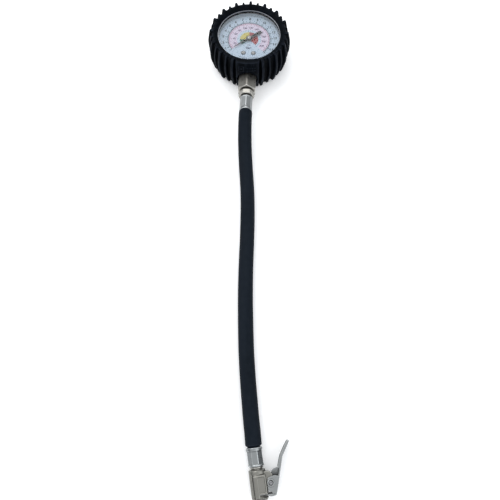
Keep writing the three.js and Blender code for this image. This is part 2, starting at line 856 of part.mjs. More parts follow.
const head = new THREE.Group();
head.add(piece("rubber_boot", rubberBoot(), "rubber"));
head.add(piece("case_shell", caseShell(), "steel"));
head.add(piece("blowout_plug", blowoutPlug(), "rubber"));
head.add(piece("case_screw_1", caseScrew(-5), "steel"));
head.add(piece("case_screw_2", caseScrew(5), "steel"));
head.add(piece("bezel_ring", bezelRing(), "steel"));
head.add(piece("lens_gasket", turned(band(30.7, 32.4, CASE_RIM + 0.15, 30.85), ROUND_SIDES), "black"));
const lens = turned(rod(32.4, LENS_TOP - LENS_THICKNESS, LENS_TOP), ROUND_SIDES);
head.add(piece("lens", lens, "clear"));
head.add(piece("dial_plate", dialPlate(), "white"));
head.add(piece("dial_screw_1", dialScrew(-5), "nickel"));
head.add(piece("dial_screw_2", dialScrew(5), "nickel"));
head.add(piece("socket", socket(), "brass"));
head.add(piece("bourdon_tube", bourdonTube(), "bronze"));
gauge.add(head);

const movement = new THREE.Group();
movement.add(piece("movement_back_plate", movementPlate(14, BACK_PLATE_TOP), "brass"));
movement.add(piece("movement_front_plate", movementPlate(FRONT_PLATE, FRONT_PLATE + 1), "brass"));
PILLARS.forEach((place, i) => {
  movement.add(piece(`movement_pillar_${i + 1}`, movementPillar(place, i < 2), "brass"));
});
PILLARS.slice(0, 2).forEach((place, i) => {
  movement.add(piece(`movement_screw_${i + 1}`, movementScrew(place), "steel"));
});
movement.add(piece("pinion_arbor", pinionArbor(), "steel"));
movement.add(piece("hairspring", hairspring(), "bronze"));
movement.add(piece("link", link(), "brass"));
movement.add(piece("link_pin", linkPin(), "steel"));
movement.add(piece("tube_tip", tubeTip(), "brass"));
gauge.add(movement);

const sector = new THREE.Group();
sector.position.set(SECTOR_PIVOT.x, SECTOR_PIVOT.y, 0);
sector.add(piece("sector_gear", sectorGear(), "brass"));
sector.add(piece("sector_arbor", sectorArbor(), "steel"));
sector.add(piece("tail_pin", tailPin(), "steel"));
movement.add(sector);

const hand = new THREE.Group();
hand.rotation.z = POINTER_ZERO * RAD;
hand.add(piece("pointer", pointer(), "black"));
hand.add(piece("pointer_cap", pointerCap(), "nickel"));
gauge.add(hand);

const fittings = new THREE.Group();
fittings.position.z = STEM_HEIGHT;
fittings.add(piece("hex_coupling", hexCoupling(), "nickel"));
fittings.add(piece("hose_nipple", hoseNipple(), "nickel"));
fittings.add(piece("upper_ferrule", ferrule(FERRULE_START, FERRULE_END), "zinc"));
gauge.add(fittings);

gauge.add(piece("hose", hose(), "rubber"));

const chuck = new THREE.Group();
chuck.position.copy(CHUCK_AT);
chuck.rotation.z = CHUCK_HEADING * RAD;
chuck.add(piece("lower_ferrule", ferrule(-CHUCK_FERRULE_END, -GAP).mirror([0, 1, 0]), "zinc"));
chuck.add(piece("chuck_nipple", chuckNipple(), "nickel"));
chuck.add(piece("chuck_body", chuckBody(), "nickel"));
chuck.add(piece("valve_seal", valveSeal(), "rubber"));
chuck.add(piece("depressor_pin", depressorPin(), "brass"));
chuck.add(piece("clip_lever", clipLever(), "zinc"));
chuck.add(piece("lever_pin", leverPin(), "steel"));
chuck.add(piece("lever_spring", leverSpring(), "steel"));
gauge.add(chuck);

export default gauge;
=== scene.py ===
"""A tire pressure gauge with its hose and clip-on chuck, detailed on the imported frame."""

import math

import bmesh
import bpy
from mathutils import Matrix, Vector


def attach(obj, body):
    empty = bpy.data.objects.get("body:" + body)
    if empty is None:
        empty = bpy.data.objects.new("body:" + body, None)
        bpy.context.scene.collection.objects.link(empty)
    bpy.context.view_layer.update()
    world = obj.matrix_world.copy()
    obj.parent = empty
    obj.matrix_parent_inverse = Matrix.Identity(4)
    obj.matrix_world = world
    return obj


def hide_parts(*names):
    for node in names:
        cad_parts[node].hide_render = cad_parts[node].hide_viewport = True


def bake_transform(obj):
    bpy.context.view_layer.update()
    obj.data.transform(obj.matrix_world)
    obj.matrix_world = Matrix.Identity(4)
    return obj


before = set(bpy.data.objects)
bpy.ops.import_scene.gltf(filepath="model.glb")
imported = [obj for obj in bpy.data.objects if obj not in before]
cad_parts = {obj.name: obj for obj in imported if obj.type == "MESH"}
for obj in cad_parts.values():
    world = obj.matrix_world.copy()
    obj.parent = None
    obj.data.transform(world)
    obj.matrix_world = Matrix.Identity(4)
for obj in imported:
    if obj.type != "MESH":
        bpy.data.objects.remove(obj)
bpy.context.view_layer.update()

# Sizes in millimetres, as in the part.
MM = 0.001
STEM_HEIGHT = 16
DIAL_TOP = 27
POINTER_ZERO = 127.5
CHUCK_AT = (20.2, -377.8, 6.6)
CHUCK_HEADING = 10.5
HOSE_RADIUS = 6.5
HOSE_GRIP = 3.2  # how far the hose goes into each sleeve
HOSE_ROUTE = [
    (0, -78.6, 16), (0, -86, 16), (0.1, -95, 15.2), (0.5, -105, 13.6), (1.1, -115, 11.5),
    (2, -126, 9.3), (3.2, -138, 7.6), (4.5, -150, 6.8), (5.6, -162, 6.6), (6.4, -176, 6.6),
    (7, -192, 6.6), (7.3, -208, 6.6), (7.4, -223, 6.6), (7.6, -238, 6.6), (8, -252, 6.6),
    (8.6, -266, 6.6), (9.4, -280, 6.6), (10.3, -294, 6.6), (11.3, -307, 6.6), (12.6, -320, 6.6),
    (14.1, -333, 6.6), (15.8, -346, 6.6), (17.4, -358, 6.6), (18.9, -368, 6.6),
    (20.15, -377.5, 6.6),
]

# Frames that builders work in: each turns millimetres in its own axes into metres in the row.
ROW = Matrix.Scale(MM, 4)
DOWN_STEM = Matrix.Rotation(math.radians(90), 4, "X")  # local +Z becomes -Y
STEM = ROW @ Matrix.Translation((0, 0, STEM_HEIGHT)) @ DOWN_STEM
HAND = ROW @ Matrix.Rotation(math.radians(POINTER_ZERO), 4, "Z")
CHUCK = ROW @ Matrix.Translation(CHUCK_AT) @ Matrix.Rotation(math.radians(CHUCK_HEADING), 4, "Z")
CHUCK_AXIS = CHUCK @ DOWN_STEM


# ---- Outlines and skins ----


def filleted(corners, steps=4, closed=False):
    """The outline through corners (x, y, radius), with an arc at each corner that has a radius."""
    most = 0.45  # the share of a side that an arc may take
    points = []
    count = len(corners)
    for i, (x, y, radius) in enumerate(corners):
        here = Vector((x, y))
        if radius == 0 or (not closed and i in (0, count - 1)):
            points.append((x, y))
            continue
        before = Vector(corners[i - 1][:2]) - here
        after = Vector(corners[(i + 1) % count][:2]) - here
        reach = min(radius, most * before.length, most * after.length)
        start = here + before.normalized() * reach
        end = here + after.normalized() * reach
        for k in range(steps + 1):
            t = k / steps
            bent = start * (1 - t) ** 2 + here * 2 * t * (1 - t) + end * t**2
            points.append((bent.x, bent.y))
    return points


def soft_min(a, b, width):
    """The smaller of a and b, rounded over where they are within width of each other."""
    near = max(width - abs(a - b), 0) / width
    return min(a, b) - near * near * width / 4


def skin(rings, closed=False):
    """Points and faces of a skin over rings of equally many points. closed joins the last to the first."""
    count = len(rings[0])
    points = [tuple(p) for ring in rings for p in ring]
    faces = []
    spans = len(rings) if closed else len(rings) - 1
    for i in range(spans):
        low = i * count
        high = ((i + 1) % len(rings)) * count
        for j in range(count):
            k = (j + 1) % count
            faces.append((low + j, low + k, high + k, high + j))
    if not closed:
        faces.append(tuple(reversed(range(count))))
        faces.append(tuple(range(len(points) - count, len(points))))
    return points, faces


def full_turn(sides):
    """Equal steps round a circle, in radians."""
    return [2 * math.pi * i / sides for i in range(sides)]


def turned(profile, sides, closed=False):
    """A body of revolution about Z. The profile is (radius, height), and a closed one is a ring."""
    rings = []
    for radius, height in profile:
        rings.append([(radius * math.cos(a), radius * math.sin(a), height) for a in full_turn(sides)])
    return skin(rings, closed)


def slab(outline, low, high):
    """An upright prism over an outline of (x, y) points."""
    rings = [[(x, y, z) for x, y in outline] for z in (low, high)]
    return skin(rings)


def block(x0, x1, y0, y1, z0, z1):
    """A box between two values on each axis."""
    return slab([(x0, y0), (x1, y0), (x1, y1), (x0, y1)], z0, z1)


def disc(x, y, radius, low, high):
    """An upright cylinder at (x, y)."""
    return slab([(x + radius * math.cos(a), y + radius * math.sin(a)) for a in full_turn(40)], low, high)


def on_side(side, near, far):
    """The lower and the upper height of what reaches from near to far, on side -1 or 1 of the middle."""
    return sorted((side * near, side * far))


def along(shape, matrix):
    """The shape turned and moved by the matrix."""
    points, faces = shape
    return [tuple(matrix @ Vector(p)) for p in points], faces


def mesh_from(name, *shapes):
    """One mesh from closed shapes (points, faces) or (points, faces, material number)."""
    built = bmesh.new()
    for shape in shapes:
        points, faces = shape[:2]
        vertices = [built.verts.new(p) for p in points]
        for corners in faces:
            face = built.faces.new([vertices[i] for i in corners])
            face.smooth = True
            face.material_index = shape[2] if len(shape) > 2 else 0
    bmesh.ops.recalc_face_normals(built, faces=built.faces)
    mesh = bpy.data.meshes.new(name)
    built.to_mesh(mesh)
    built.free()
    return mesh


def temporary(mesh):
    """The mesh as a new object in the scene."""
    obj = bpy.data.objects.new(mesh.name, mesh)
    bpy.context.scene.collection.objects.link(obj)
    return obj


def settled(obj):
    """The object's mesh with its modifiers applied. The object itself is removed."""
    bpy.context.view_layer.update()
    shown = obj.evaluated_get(bpy.context.evaluated_depsgraph_get())
    mesh = bpy.data.meshes.new_from_object(shown)
    bpy.data.objects.remove(obj)
    return mesh


def carved(name, first, added=(), removed=(), voxel=0, smoothing=0):
    """first joined with the added shapes, less the removed ones. A voxel size rounds every edge softly."""
    base = temporary(mesh_from(name, first))
    tools = []
    for operation, shapes in (("UNION", added), ("DIFFERENCE", removed)):
        for shape in shapes:
            tool = temporary(mesh_from("tool", shape))
            tools.append(tool)
            step = base.modifiers.new("carve", "BOOLEAN")
            step.operation = operation
            step.solver = "EXACT"
            step.object = tool
    if voxel:
        remesh = base.modifiers.new("remesh", "REMESH")
        remesh.mode = "VOXEL"
        remesh.voxel_size = voxel
        remesh.use_smooth_shade = True
    if smoothing:
        smooth = base.modifiers.new("smooth", "SMOOTH")
        smooth.factor = 0.5
        smooth.iterations = smoothing
    mesh = settled(base)
    for tool in tools:
        bpy.data.objects.remove(tool)
    for face in mesh.polygons:
        face.use_smooth = True
    return mesh


def piece(name, mesh, materials, body, node, place=ROW, weighted=True, bends=None):
    """A piece that stands for a CAD node and rides on body. If bends, given as (other body, start, end), is
    set, its transform is baked in instead and it rides on no body.
    """
    mesh.transform(place)
    mesh.name = name
    obj = temporary(mesh)
    obj.name = name
    numbers = [face.material_index for face in mesh.polygons]
    mesh.materials.clear()  # this also forgets each face's number
    for material in materials:
        mesh.materials.append(material)
    mesh.polygons.foreach_set("material_index", numbers)
    if weighted:
        normals = obj.modifiers.new("normals", "WEIGHTED_NORMAL")
        normals.keep_sharp = True
    if bends:
        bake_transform(obj)
    else:
        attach(obj, body)
    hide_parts(node)
    return obj


# ---- Materials ----


class Look:
    """A procedural material, made node by node. Sizes are in metres on the object."""

    def __init__(self, name):
        self.material = bpy.data.materials.new(name)
        self.material.use_nodes = True
        self.tree = self.material.node_tree
        self.shader = self.tree.nodes["Principled BSDF"]
        self.place = self.node("ShaderNodeTexCoord").outputs["Object"]

    def node(self, kind, **settings):
        """A new node of a kind, with its settings."""
        made = self.tree.nodes.new(kind)
        for key, value in settings.items():
            setattr(made, key, value)
        return made

    def put(self, node, socket, value):
        """Sets a node's socket to a number or colour, or links another node's output to it."""
        if isinstance(value, bpy.types.NodeSocket):
            self.tree.links.new(value, node.inputs[socket])
        else:
            node.inputs[socket].default_value = value

    def noise(self, size, detail, stretch=(1, 1, 1), shift=0.0):
        """Noise from 0 to 1, with features about size metres across. Another shift gives another pattern."""
        mapping = self.node("ShaderNodeMapping")
        self.put(mapping, "Vector", self.place)
        self.put(mapping, "Scale", stretch)
        self.put(mapping, "Location", (shift, shift * 1.7, shift * 0.6))
        noise = self.node("ShaderNodeTexNoise")
        self.put(noise, "Vector", mapping.outputs["Vector"])
        self.put(noise, "Scale", 1 / size)
        self.put(noise, "Detail", detail)
        return noise.outputs["Fac"]

    def spread(self, value, low, high, start, end):
        """value from low..high turned into start..end, and held at the ends."""
        ranged = self.node("ShaderNodeMapRange")
        sockets = {"Value": value, "From Min": low, "From Max": high, "To Min": start, "To Max": end}
        for socket, number in sockets.items():
            self.put(ranged, socket, number)
        return ranged.outputs["Result"]

    def mixed(self, share, first, second):
        """The first colour at a share of 0 and the second at 1. Either may be another node's output."""
        mix = self.node("ShaderNodeMix", data_type="RGBA")
        self.put(mix, "Factor", share)
        for socket, colour in (("A", first), ("B", second)):
            target = [s for s in mix.inputs if s.name == socket and s.type == "RGBA"][0]
            if isinstance(colour, bpy.types.NodeSocket):
                self.tree.links.new(colour, target)
            else:
                target.default_value = (*colour, 1)
        return [s for s in mix.outputs if s.type == "RGBA"][0]

    def edges(self, low, high):
        """0 below a low pointiness and 1 above a high one. A flat surface has 0.5, outward edges more."""
        return self.spread(self.pointiness(), low, high, 0, 1)

    def pointiness(self):
        return self.node("ShaderNodeNewGeometry").outputs["Pointiness"]

    def times(self, first, second):
        """The product of two outputs."""
        product = self.node("ShaderNodeMath", operation="MULTIPLY")
        self.put(product, 0, first)
        self.put(product, 1, second)
        return product.outputs["Value"]

    def bump(self, height, depth):
        """Normals bent by a height from 0 to 1, which is depth metres."""
        bump = self.node("ShaderNodeBump")
        self.put(bump, "Height", height)
        self.put(bump, "Distance", depth)
        self.put(bump, "Strength", 1.0)
        return bump.outputs["Normal"]

    def finish(self, **sockets):
        """Fills in the shader's sockets, and gives the material."""
        names = {"colour": "Base Color", "specular": "Specular IOR Level"}
        for key, value in sockets.items():
            name = names.get(key, key.capitalize())
            if name == "Base Color" and not isinstance(value, bpy.types.NodeSocket):
                value = (*value, 1)
            self.put(self.shader, name, value)
        return self.material


def rubber(name, dark, light, edge, grain, roughness, depth, stretch=(1, 1, 1), specular=0.2):
    """Moulded or extruded rubber: mottled, greyer on worn edges, with a fine grain."""
    look = Look(name)
    mottle = look.spread(look.noise(0.012, 5, stretch), 0.35, 0.65, 0, 1)
    worn = look.times(look.edges(0.502, 0.53), look.spread(look.noise(0.004, 3), 0.3, 0.7, 0.35, 1))
    colour = look.mixed(worn, look.mixed(mottle, dark, light), edge)
    fine = look.noise(grain, 3, stretch)
    dull = look.spread(look.noise(0.006, 4, stretch, 0.3), 0.3, 0.7, *roughness)
    normal = look.bump(fine, depth)
    return look.finish(colour=colour, roughness=dull, normal=normal, specular=specular)


def metal(name, base, light, roughness, grain, depth):
    """Plated or bare metal: cloudy plating, painted shade where it is hollow, edges lighter as wear and
    painted highlight.
    """
    most_shade = 0.5
    clouded = tuple(0.84 * c + 0.02 for c in base)
    shade_colour = tuple(0.22 * c for c in base)
    look = Look(name)
    cloud = look.spread(look.noise(0.005, 5), 0.35, 0.65, 0, 1)
    # Painted shade: where pointiness is low (hollows, creases) the colour goes towards a dark copy of the
    # base.
    hollow = look.spread(look.pointiness(), 0.47, 0.498, most_shade, 0)
    plate = look.mixed(cloud, base, clouded)
    # Edges, where pointiness is high, are painted lighter: partly wear, partly a painted highlight where
    # ridges catch the light.
    edge_wear_and_highlight = look.mixed(look.edges(0.51, 0.56), plate, light)
    colour = look.mixed(hollow, edge_wear_and_highlight, shade_colour)
    streak = look.noise(grain, 4)
    dull = look.spread(look.noise(0.0022, 5, shift=0.7), 0.3, 0.7, *roughness)
    normal = look.bump(streak, depth)
    return look.finish(colour=colour, roughness=dull, normal=normal, metallic=1.0)


def paint(name, colour, variation, roughness=(0.35, 0.5), grain=0.0006, depth=1e-6):
    """Paint, enamel or printing ink, a little uneven in tone and surface."""
    look = Look(name)
    tone = look.spread(look.noise(0.0016, 4), 0.3, 0.7, 0, 1)
    deeper = tuple(c * (1 - variation) for c in colour)
    dull = look.spread(look.noise(0.003, 3, shift=0.4), 0.3, 0.7, *roughness)
    normal = look.bump(look.noise(grain, 3), depth)
    return look.finish(colour=look.mixed(tone, colour, deeper), roughness=dull, normal=normal, specular=0.2)


def clear_glass(name):
    """A clear window: it lets light and lamps through, and mirrors by angle, with faint smears."""
    head_on = 0.012  # the share that is mirrored when it is seen squarely
    sharpness = 5  # of the rise to a full mirror at a grazing angle
    look = Look(name)
    smear = look.spread(look.noise(0.009, 4), 0.35, 0.7, 0.02, 0.08)
    look.finish(colour=(1, 1, 1), roughness=smear, metallic=1.0)
    clear = look.node("ShaderNodeBsdfTransparent")
    # The faint blue of the see-through colour is a painted reflection tint.
    clear.inputs["Color"].default_value = (0.985, 0.995, 1, 1)
    facing = look.node("ShaderNodeLayerWeight")
    steep = look.node("ShaderNodeMath", operation="POWER")
    look.put(steep, 0, facing.outputs["Facing"])
    look.put(steep, 1, sharpness)
    mix = look.node("ShaderNodeMixShader")
    look.put(mix, "Fac", look.spread(steep.outputs["Value"], 0, 1, head_on, 1))
    look.tree.links.new(clear.outputs["BSDF"], mix.inputs[1])
    look.tree.links.new(look.shader.outputs["BSDF"], mix.inputs[2])
    look.tree.links.new(mix.outputs["Shader"], look.tree.nodes["Material Output"].inputs["Surface"])
    return look.material


BOOT = rubber("boot_rubber", (0.0004, 0.0009, 0.0018), (0.0012, 0.0024, 0.0046), (0.014, 0.018, 0.026),
              0.0005, (0.46, 0.62), 1.2e-5, specular=0.035)
SEAL = rubber("seal_rubber", (0.008, 0.008, 0.009), (0.016, 0.016, 0.017), (0.03, 0.03, 0.03),
              0.0004, (0.5, 0.65), 6e-6)
HOSE = rubber("hose_rubber", (0.0030, 0.0055, 0.0085), (0.0060, 0.0095, 0.0145), (0.016, 0.020, 0.028),
              0.0007, (0.58, 0.72), 1.6e-5, stretch=(1, 0.12, 1), specular=0.05)
NICKEL = metal("nickel_plate", (0.29, 0.28, 0.255), (0.60, 0.59, 0.56), (0.26, 0.4), 0.0004, 4e-6)
CAST_NICKEL = metal("cast_nickel", (0.215, 0.21, 0.19), (0.62, 0.61, 0.56), (0.30, 0.45), 0.0007, 1.2e-5)
ZINC = metal("ferrule_zinc", (0.25, 0.262, 0.265), (0.62, 0.65, 0.66), (0.26, 0.38), 0.0006, 6e-6)
LEVER_ZINC = metal("lever_zinc", (0.26, 0.27, 0.27), (0.60, 0.62, 0.62), (0.28, 0.42), 0.0008, 8e-6)
STEEL = metal("case_steel", (0.30, 0.31, 0.32), (0.6, 0.6, 0.6), (0.3, 0.42), 0.0005, 4e-6)
BEZEL = metal("bezel_steel", (0.26, 0.27, 0.30), (0.45, 0.46, 0.48), (0.26, 0.38), 0.0005, 3e-6)
ARBOR = metal("arbor_steel", (0.22, 0.22, 0.23), (0.5, 0.5, 0.5), (0.34, 0.48), 0.0003, 2e-6)
BRASS = metal("movement_brass", (0.62, 0.47, 0.21), (0.85, 0.68, 0.36), (0.25, 0.4), 0.0004, 4e-6)
CAST_BRASS = metal("socket_brass", (0.55, 0.40, 0.17), (0.8, 0.62, 0.32), (0.32, 0.5), 0.0008, 1.5e-5)
BRONZE = metal("tube_bronze", (0.50, 0.31, 0.17), (0.75, 0.5, 0.3), (0.28, 0.42), 0.0005, 4e-6)
CAP_METAL = metal("cap_metal", (0.22, 0.21, 0.205), (0.4, 0.4, 0.38), (0.32, 0.45), 0.0003, 2e-6)
POINTER_BLACK = paint("pointer_black", (0.012, 0.012, 0.014), 0.3, (0.3, 0.45), 0.0004, 3e-6)
# The dial's blue tint is a painted reflection of the lens; the plate itself is white.
DIAL_WHITE = paint("dial_white", (0.30, 0.36, 0.43), 0.04, (0.4, 0.55), 0.0009, 2e-6)
GLASS = clear_glass("lens_clear")
INKS = [
    paint("ink_scale", (0.010, 0.022, 0.035), 0.25),
    paint("ink_inner_zone", (0.42, 0.36, 0.44), 0.06),
    paint("ink_inner_scale", (0.26, 0.08, 0.13), 0.2),
    paint("ink_inner_numbers", (0.09, 0.06, 0.11), 0.2),
    paint("ink_green", (0.015, 0.075, 0.055), 0.15),
    paint("ink_yellow", (0.36, 0.30, 0.07), 0.1),
    paint("ink_red", (0.20, 0.015, 0.016), 0.15),
    paint("ink_words", (0.015, 0.018, 0.06), 0.2),
]
SCALE_INK, ZONE_INK, RED_LINE_INK, INNER_INK, GREEN_INK, YELLOW_INK, RED_INK, WORD_INK = range(1, 9)


# ---- Camera, light and floor, in metres ----

CAMERA_AT = (0.01615, -0.34923, 0.3856)
CAMERA_LENS = 32.4  # mm, with a sensor 36 mm wide
CAMERA_TILT = 19.2  # degrees from straight down
CAMERA_TURN = 2.5
FLOOR_HALF = 3.0
FLOOR_THICK = 0.02
FLOOR_GLOW = 0.16
WORLD_LIGHT = 1.2


def make_camera():
    data = bpy.data.cameras.new("camera")
    data.lens = CAMERA_LENS
    data.sensor_width = 36
    data.clip_start = 0.01
    camera = bpy.data.objects.new("camera", data)
    camera.location = CAMERA_AT
    camera.rotation_euler = (math.radians(CAMERA_TILT), 0, math.radians(CAMERA_TURN))
    bpy.context.scene.collection.objects.link(camera)
    bpy.context.scene.camera = camera


def soft_lamp(name, place, aim, size, power, colour=(1, 1, 1)):
    """A round lamp of a size and power in watts, which points at aim."""
    data = bpy.data.lights.new(name, "AREA")
    data.shape = "DISK"
    data.size = size
    data.energy = power
    data.color = colour
    lamp = bpy.data.objects.new(name, data)
    lamp.location = place
    lamp.rotation_euler = (Vector(aim) - Vector(place)).to_track_quat("-Z", "Y").to_euler()
    bpy.context.scene.collection.objects.link(lamp)


def make_world():
    """An even studio: grey from below and white from above."""
    world = bpy.data.worlds.new("studio")
    world.use_nodes = True
    tree = world.node_tree
    direction = tree.nodes.new("ShaderNodeTexCoord")
    split = tree.nodes.new("ShaderNodeSeparateXYZ")
    tree.links.new(direction.outputs["Generated"], split.inputs["Vector"])
    dome = tree.nodes.new("ShaderNodeValToRGB")
    dome.color_ramp.elements[0].position = 0.15
    dome.color_ramp.elements[0].color = (0.20, 0.21, 0.225, 1)
    dome.color_ramp.elements[1].position = 0.75
    dome.color_ramp.elements[1].color = (0.96, 0.98, 1, 1)
    tree.links.new(split.outputs["Z"], dome.inputs["Fac"])
    background = tree.nodes["Background"]
    tree.links.new(dome.outputs["Color"], background.inputs["Color"])
    background.inputs["Strength"].default_value = WORLD_LIGHT
    bpy.context.scene.world = world


def make_floor():
    """White paper that glows faintly, like a light table."""
    sides = (-FLOOR_HALF, FLOOR_HALF)
    floor = temporary(mesh_from("floor", block(*sides, *sides, -FLOOR_THICK, 0)))
    paper = Look("floor_paper")
    tone = paper.mixed(paper.noise(0.4, 2), (0.93, 0.93, 0.93), (0.95, 0.95, 0.95))
    paper.finish(colour=tone, roughness=0.8)
    paper.shader.inputs["Emission Color"].default_value = (1, 1, 1, 1)
    paper.shader.inputs["Emission Strength"].default_value = FLOOR_GLOW
    floor.data.materials.append(paper.material)


def make_stage():
    soft_lamp("key", (-0.55, 0.10, 0.75), (0, -0.18, 0), 0.8, 3.2)
    soft_lamp("fill", (0.6, -0.5, 0.6), (0, -0.2, 0), 0.8, 1.5, (0.95, 0.97, 1))
    soft_lamp("back", (0, 0.40, 0.62), (0, -0.1, 0), 0.4, 1.0)
    make_world()
    bpy.context.scene.view_settings.view_transform = "Standard"
    make_floor()


# ---- Hose ----


def smooth_route(points, per_span):
    """A Catmull-Rom curve through the points, with per_span steps from each to the next."""
    corners = [Vector(p) for p in points]
    first = corners[0] * 2 - corners[1]
    last = corners[-1] * 2 - corners[-2]
    padded = [first, *corners, last]
    route = []
    for a, b, c, d in zip(padded, padded[1:], padded[2:], padded[3:]):
        for k in range(per_span):
            t = k / per_span
            route.append(
                0.5 * (2 * b + (c - a) * t + (2 * a - 5 * b + 4 * c - d) * t**2
                       + (3 * b - a - 3 * c + d) * t**3)
            )
    route.append(corners[-1])
    return route


def hose_radius(along_hose, whole):
    """The hose is squeezed inside its sleeves, and swells out of them."""
    squeezed = 5.05
    swell = 1.1  # the length over which it swells, from just inside the sleeve
    from_end = min(along_hose, whole - along_hose)
    share = max(0, min(1, (from_end - HOSE_GRIP + 0.3) / swell))
    return squeezed + (HOSE_RADIUS - squeezed) * math.sqrt(1 - (1 - share) ** 2)


def make_hose():
    """The hose, its path in metres and its length."""
    start = Vector(HOSE_ROUTE[0]) + Vector((0, HOSE_GRIP, 0))
    heading = math.radians(CHUCK_HEADING)
    end = Vector(HOSE_ROUTE[-1]) + HOSE_GRIP * Vector((math.sin(heading), -math.cos(heading), 0))
    corners = [start, *HOSE_ROUTE, end]
    route = smooth_route(corners, 10)
    near_end = 6  # mm from either end, where the rings are closer together
    fine = []
    for a, b in zip(route, route[1:]):
        parts = 3 if (a - route[0]).length < near_end or (b - route[-1]).length < near_end else 1
        fine += [a.lerp(b, k / parts) for k in range(parts)]
    fine.append(route[-1])
    lengths = [0]
    for a, b in zip(fine, fine[1:]):
        lengths.append(lengths[-1] + (b - a).length)
    rings = []
    turn = full_turn(48)
    for i, centre in enumerate(fine):
        ahead = (fine[min(i + 1, len(fine) - 1)] - fine[max(i - 1, 0)]).normalized()
        across = ahead.cross(Vector((0, 0, 1))).normalized()
        up = across.cross(ahead)
        radius = hose_radius(lengths[i], lengths[-1])
        rings.append([centre + radius * (math.cos(a) * across + math.sin(a) * up) for a in turn])
    hose = piece("hose_rubber", mesh_from("hose", skin(rings)), [HOSE], "gauge", "hose")
    path = [tuple(MM * p) for p in smooth_route(corners, 4)]
    return hose, path, lengths[-1] * MM


# ---- Rubber boot ----

RIB_PLACES = 32
PANEL_PLACE = 16  # the rib place, from the top, where the stem's panel stands
BOOT_R = 41.5


def boot_sections():
    """Matching outlines of the boot between ribs, on big and small ribs, and on the stem panel."""
    radii = [0.3, 0.5, 1.2, 3, 2.5, 0.5, 0.5, 0.5]

    def rib(outer, front, root):
        return [(33.8, 0.45), (outer - 4.6, 0.55), (outer - 3.4, 2.6), (outer - 0.1, 16),
                (outer - 0.1, 26), (outer - 2.5, front), (root, front), (34.1, 36.5)]

    valley = [(33.8, 0.45), (34.2, 1.4), (34.7, 4), (36.4, 14), (36.5, 30), (36.9, 35.3),
              (36, 36.7), (34.1, 36.5)]
    outer_parts = {
        "valley": valley,
        "big": rib(BOOT_R, 37.6, 35.8),
        "small": rib(BOOT_R - 0.8, 37.1, 35.8),
        "panel": rib(BOOT_R - 0.3, 36.75, 35.8),
    }
    back = [(4, 0.5, 0), (24, 0.5, 0.5), (25, 0, 0.4), (33.4, 0, 0.6)]
    inside = [(31.5, 34.8, 0.6), (31, 34.2, 0.4), (31, 33.75, 0), (33.8, 33.75, 0), (33.8, 27.3, 0),
              (31.6, 27.3, 0), (31.6, 3.9, 0), (26, 3.9, 0), (26, 2.8, 0), (4, 2.8, 0)]
    sections = {}
    for key, part in outer_parts.items():
        middle = [(r, z, radius) for (r, z), radius in zip(part, radii)]
        sections[key] = filleted([*back, *middle, *inside])
    return sections


def boot_columns():
    """Columns round the boot: (degrees from +X, mm across from there, section, how much it stands out)."""
    wall = [(-0.5, 1), (-0.28, 0.98), (-0.12, 0.92), (-0.03, 0.8), (0.06, 0.5), (0.18, 0.2),
            (0.36, 0.07), (0.7, 0)]
    columns = []

    def raised(centre, half, key, flat):
        """Adds the columns of a raised part that reaches half mm to each side of its centre."""
        sides = [(half + offset, weight) for offset, weight in wall]
        columns.extend((centre, -offset, key, weight) for offset, weight in reversed(sides))
        columns.extend((centre, offset, key, 1) for offset in flat)
        columns.extend((centre, offset, key, weight) for offset, weight in sides)

    period = 360 / RIB_PLACES
    first, last = PANEL_PLACE + 2, PANEL_PLACE - 2 + RIB_PLACES
    for place in range(first, last + 1):
        centre = 90 + period * place
        is_big = place % 2 == 0
        raised(centre, 1.3 if is_big else 0.95, "big" if is_big else "small", [0])
        if place < last:
            columns.extend((centre + share * period, 0, "valley", 0) for share in (0.4, 0.5, 0.6))
    panel = 90 + period * (last + 2)
    raised(panel, 11.3, "panel", [0.9 * k for k in range(-11, 12)])  # the panel's half width and columns
    return columns


def on_panel(x, z, rise):
    """A point rise above the panel's sloping wall, whose radius shrinks by 2.5 mm from z 26 to 37."""
    r = BOOT_R - 0.4 - 2.5 * (z - 26) / 11 + rise
    return x, -math.sqrt(r * r - x * x), z


def raised_bar(x0, x1, z0, z1):
    """A low embossed rectangle on the panel, rooted in it."""
    corners = [(x0, z0), (x1, z0), (x1, z1), (x0, z1)]
    return skin([[on_panel(x, z, rise) for x, z in corners] for rise in (-1, 0.4)])


def panel_badge():
    """A plain embossed frame with a square in it, and two rows of dashes beside it."""
    x0, x1, z0, z1, line = -8.4, -3.2, 27.6, 33.2, 0.7
    frame_bars = [(x0, x1, z0, z0 + line), (x0, x1, z1 - line, z1),
                  (x0, x0 + line, z0, z1), (x1 - line, x1, z0, z1)]
    square = [(x0 + 1.8, x1 - 1.8, z0 + 1.9, z1 - 1.9)]
    dashes = [(x, x + 1.5, z, z + 0.8) for z in (28.4, 31) for x in (-0.6, 1.8, 4.2, 6.6)]
    return [raised_bar(*bar) for bar in frame_bars + square + dashes]


def make_boot():
    least_r = 37  # nearer the axis, columns keep the angle that they have here
    sections = boot_sections()
    rings = []
    for row, (valley_r, valley_z) in enumerate(sections["valley"]):
        ring = []
        for degrees, across, key, weight in boot_columns():
            out_r, out_z = sections[key][row]
            r = valley_r + weight * (out_r - valley_r)
            z = valley_z + weight * (out_z - valley_z)
            angle = math.radians(degrees) + math.asin(across / max(r, least_r))
            ring.append((r * math.cos(angle), r * math.sin(angle), z))
        rings.append(ring)
    to_stem = Matrix.Translation((0, 0, STEM_HEIGHT)) @ DOWN_STEM
    bore = along(turned([(10.3, 30), (10.3, 40.3), (10.9, 41), (11.6, 41.6), (11.6, 46)], 96), to_stem)
    mesh = carved("boot", skin(rings), panel_badge(), [bore])
    piece("boot_moulding", mesh, [BOOT], "gauge", "rubber_boot")


# ---- Case front: bezel, gasket, lens ----


